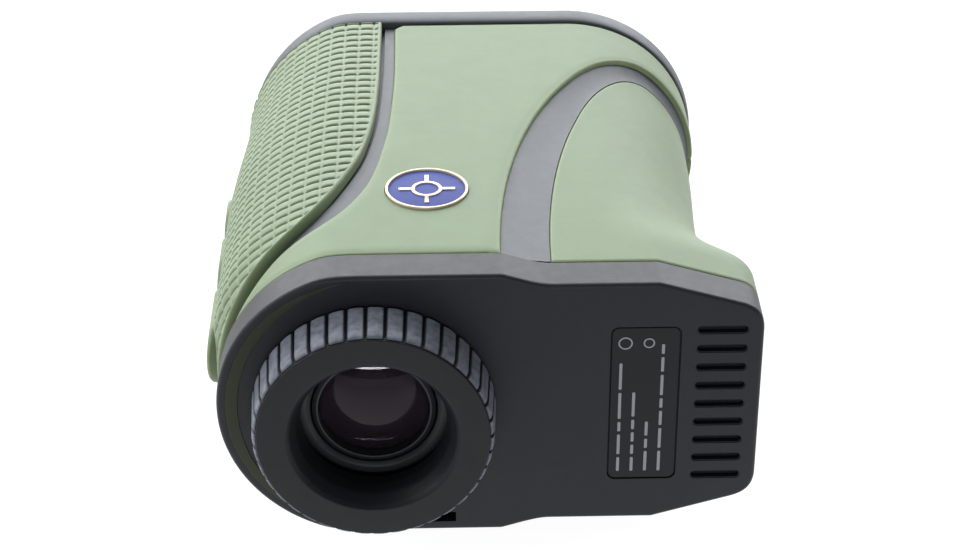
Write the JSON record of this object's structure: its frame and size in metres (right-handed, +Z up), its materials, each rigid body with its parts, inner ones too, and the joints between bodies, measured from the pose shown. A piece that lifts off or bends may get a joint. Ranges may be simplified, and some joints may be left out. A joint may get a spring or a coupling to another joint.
{
  "type": "laser rangefinder",
  "caption": "Handheld laser rangefinder with rubber armour, a focusing eyepiece, measure and mode keys, front lenses and a latched battery door under the grip.",
  "frame": {"origin": "centre of the footprint on the table, with the rangefinder lying on its left side", "axes": "+Y along the line of sight from the eyepiece to the lenses, +Z up, which is the rangefinder's right-hand side in use, +X towards the side that faces down in use"},
  "size_m": [0.079, 0.0944, 0.044],
  "materials": {
    "armour": "soft matt sage-green overmoulded rubber",
    "shell": "fine-textured grey plastic",
    "cover": "near-black satin plastic",
    "label": "printed matt label",
    "soft_rubber": "matt black rubber",
    "black_metal": "black anodised",
    "coated_glass": "polished, purple anti-reflection coating",
    "clear_glass": "polished clear glass",
    "steel": "bright",
    "brass": "plain",
    "board": "green solder mask",
    "chip": "moulded black",
    "badge_blue": "blue enamel",
    "badge_gold": "polished pale gold",
    "battery": "printed sleeve"
  },
  "bodies": {
    "case": {"housing_right": "shell", "housing_left": "shell", "front_bezel": "shell", "side_armour_right": "armour", "side_armour_left": "armour", "grip_cover": "armour", "palm_cover": "armour", "rear_accent": "armour", "badge_ring": "badge_gold", "badge_disc": "badge_blue", "rear_cover": "cover", "front_plate": "cover", "battery_tube": "cover", "label_plate": "label", "rear_pad": "soft_rubber", "focus_sleeve": "black_metal", "objective_cell": "black_metal", "objective_ring": "black_metal", "laser_cell": "black_metal", "laser_ring": "black_metal", "prism_mount": "black_metal", "objective_lens": "coated_glass", "laser_lens": "coated_glass", "prism_block": "clear_glass", "display_panel": "chip", "detector_module": "chip", "processor_chip": "chip", "laser_diode": "steel", "measure_switch": "steel", "mode_switch": "steel", "hinge_pin": "steel", "case_screw_1": "steel", "case_screw_2": "steel", "case_screw_3": "steel", "case_screw_4": "steel", "laser_board": "board", "main_board": "board", "button_board": "board", "battery": "battery", "inner_contact": "brass"},
    "diopter": {"diopter_ring": "soft_rubber", "eyecup": "soft_rubber"},
    "lens_cell": {"eyepiece_cell": "black_metal", "eye_lens": "coated_glass", "field_lens": "coated_glass", "eye_lens_ring": "black_metal"},
    "measure_key": {"measure_button": "soft_rubber"},
    "mode_key": {"mode_button": "soft_rubber"},
    "battery_lid": {"battery_door": "armour"},
    "lid_latch": {"door_latch": "cover"}
  },
  "joints": [
    {"name": "diopter_turn", "type": "hinge", "parent": "case", "child": "diopter", "pos_m": [-0.01505, -0.03945, 0.022], "axis": [0, 1, 0], "range_deg": [-120, 120]},
    {"name": "lens_travel", "type": "slide", "parent": "case", "child": "lens_cell", "axis": [0, 1, 0], "range_m": [-0.00088, 0.00088]},
    {"name": "measure_press", "type": "slide", "parent": "case", "child": "measure_key", "axis": [1, 0, 0], "range_m": [0, 0.0008], "stiffness_N_per_m": 1200, "springref_m": -0.0004},
    {"name": "mode_press", "type": "slide", "parent": "case", "child": "mode_key", "axis": [1, 0, 0], "range_m": [0, 0.0008], "stiffness_N_per_m": 1200, "springref_m": -0.0004},
    {"name": "door_swing", "type": "hinge", "parent": "case", "child": "battery_lid", "pos_m": [0.03395, -0.01305, 0.022], "axis": [0, 0, 1], "range_deg": [0, 95]},
    {"name": "latch_slide", "type": "slide", "parent": "battery_lid", "child": "lid_latch", "axis": [0, 1, 0], "range_m": [0, 0.0024], "stiffness_N_per_m": 400, "springref_m": -0.001}
  ],
  "couplings": [
    {"joint": "diopter_turn", "follows": "lens_travel", "rad_per_m": 2379.9}
  ]
}
